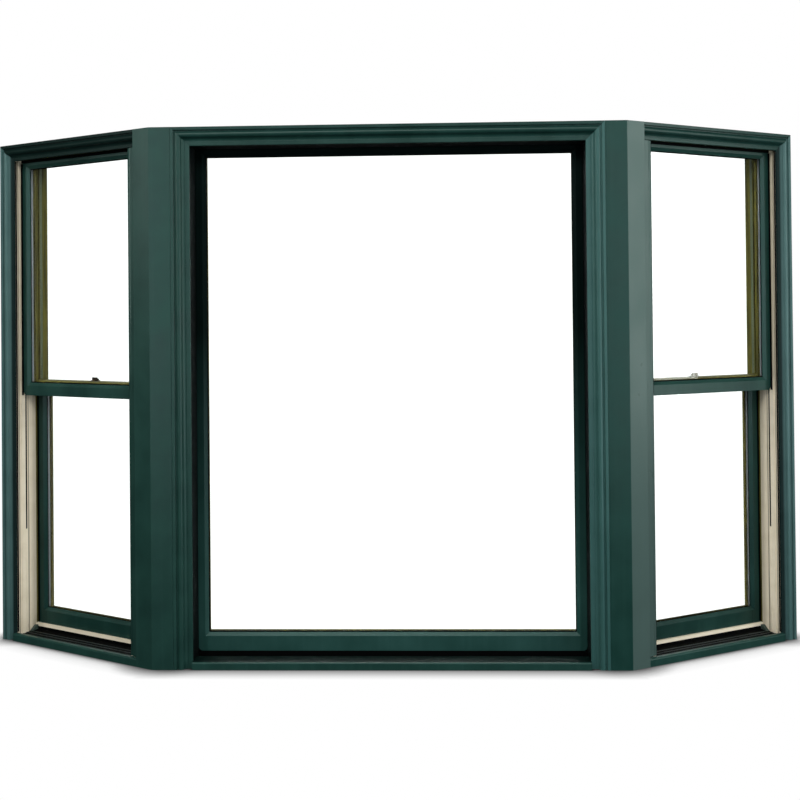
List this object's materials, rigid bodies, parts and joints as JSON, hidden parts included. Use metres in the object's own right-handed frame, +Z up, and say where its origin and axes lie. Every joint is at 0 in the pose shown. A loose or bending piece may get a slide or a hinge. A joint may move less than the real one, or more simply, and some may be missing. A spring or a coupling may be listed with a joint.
{
  "type": "bay window",
  "caption": "Green clad bay window: a fixed centre pane flanked by angled double-hung sash windows, with bent corner covers and moulded casing.",
  "frame": {"origin": "centre of the footprint's bounding box, on the floor under the sills", "axes": "+X along the front to the viewer's right from outside, +Y into the building, +Z up; the outside faces -Y"},
  "size_m": [2.31, 0.418, 1.45],
  "materials": {
    "green_aluminium": "satin",
    "dark_aluminium": "satin",
    "beige_vinyl": "matt",
    "pine": "clear sealed",
    "clear_glass": "polished",
    "bronze_metal": "satin",
    "spacer_aluminium": "mill finish, perforated",
    "black_gasket": "matt",
    "zinc_screw": "zinc plated"
  },
  "bodies": {
    "root": {"centre_casing_head": "green_aluminium", "centre_casing_left": "green_aluminium", "centre_casing_right": "green_aluminium", "centre_sill": "green_aluminium", "centre_head_jamb": "pine", "centre_left_jamb": "pine", "centre_right_jamb": "pine", "centre_head_stop": "dark_aluminium", "centre_left_stop": "dark_aluminium", "centre_right_stop": "dark_aluminium", "centre_sash_cladding": "green_aluminium", "centre_sash_wood": "pine", "centre_glass": "clear_glass", "left_corner_cover": "green_aluminium", "left_corner_post": "pine", "right_corner_cover": "green_aluminium", "right_corner_post": "pine", "left_casing_head": "green_aluminium", "left_casing_jamb": "green_aluminium", "left_sill": "green_aluminium", "left_sill_strip": "beige_vinyl", "left_head_jamb": "pine", "left_outer_jamb": "pine", "left_inner_jamb": "pine", "left_outer_liner": "beige_vinyl", "left_inner_liner": "beige_vinyl", "left_upper_sash_cladding": "green_aluminium", "left_upper_sash_wood": "pine", "left_upper_glass": "clear_glass", "left_lower_sash_cladding": "green_aluminium", "left_lower_sash_wood": "pine", "left_lower_glass": "clear_glass", "left_sash_lock": "bronze_metal", "right_casing_head": "green_aluminium", "right_casing_jamb": "green_aluminium", "right_sill": "green_aluminium", "right_sill_strip": "beige_vinyl", "right_head_jamb": "pine", "right_outer_jamb": "pine", "right_inner_jamb": "pine", "right_outer_liner": "beige_vinyl", "right_inner_liner": "beige_vinyl", "right_upper_sash_cladding": "green_aluminium", "right_upper_sash_wood": "pine", "right_upper_glass": "clear_glass", "right_lower_sash_cladding": "green_aluminium", "right_lower_sash_wood": "pine", "right_lower_glass": "clear_glass", "right_sash_lock": "bronze_metal"}
  },
  "joints": []
}
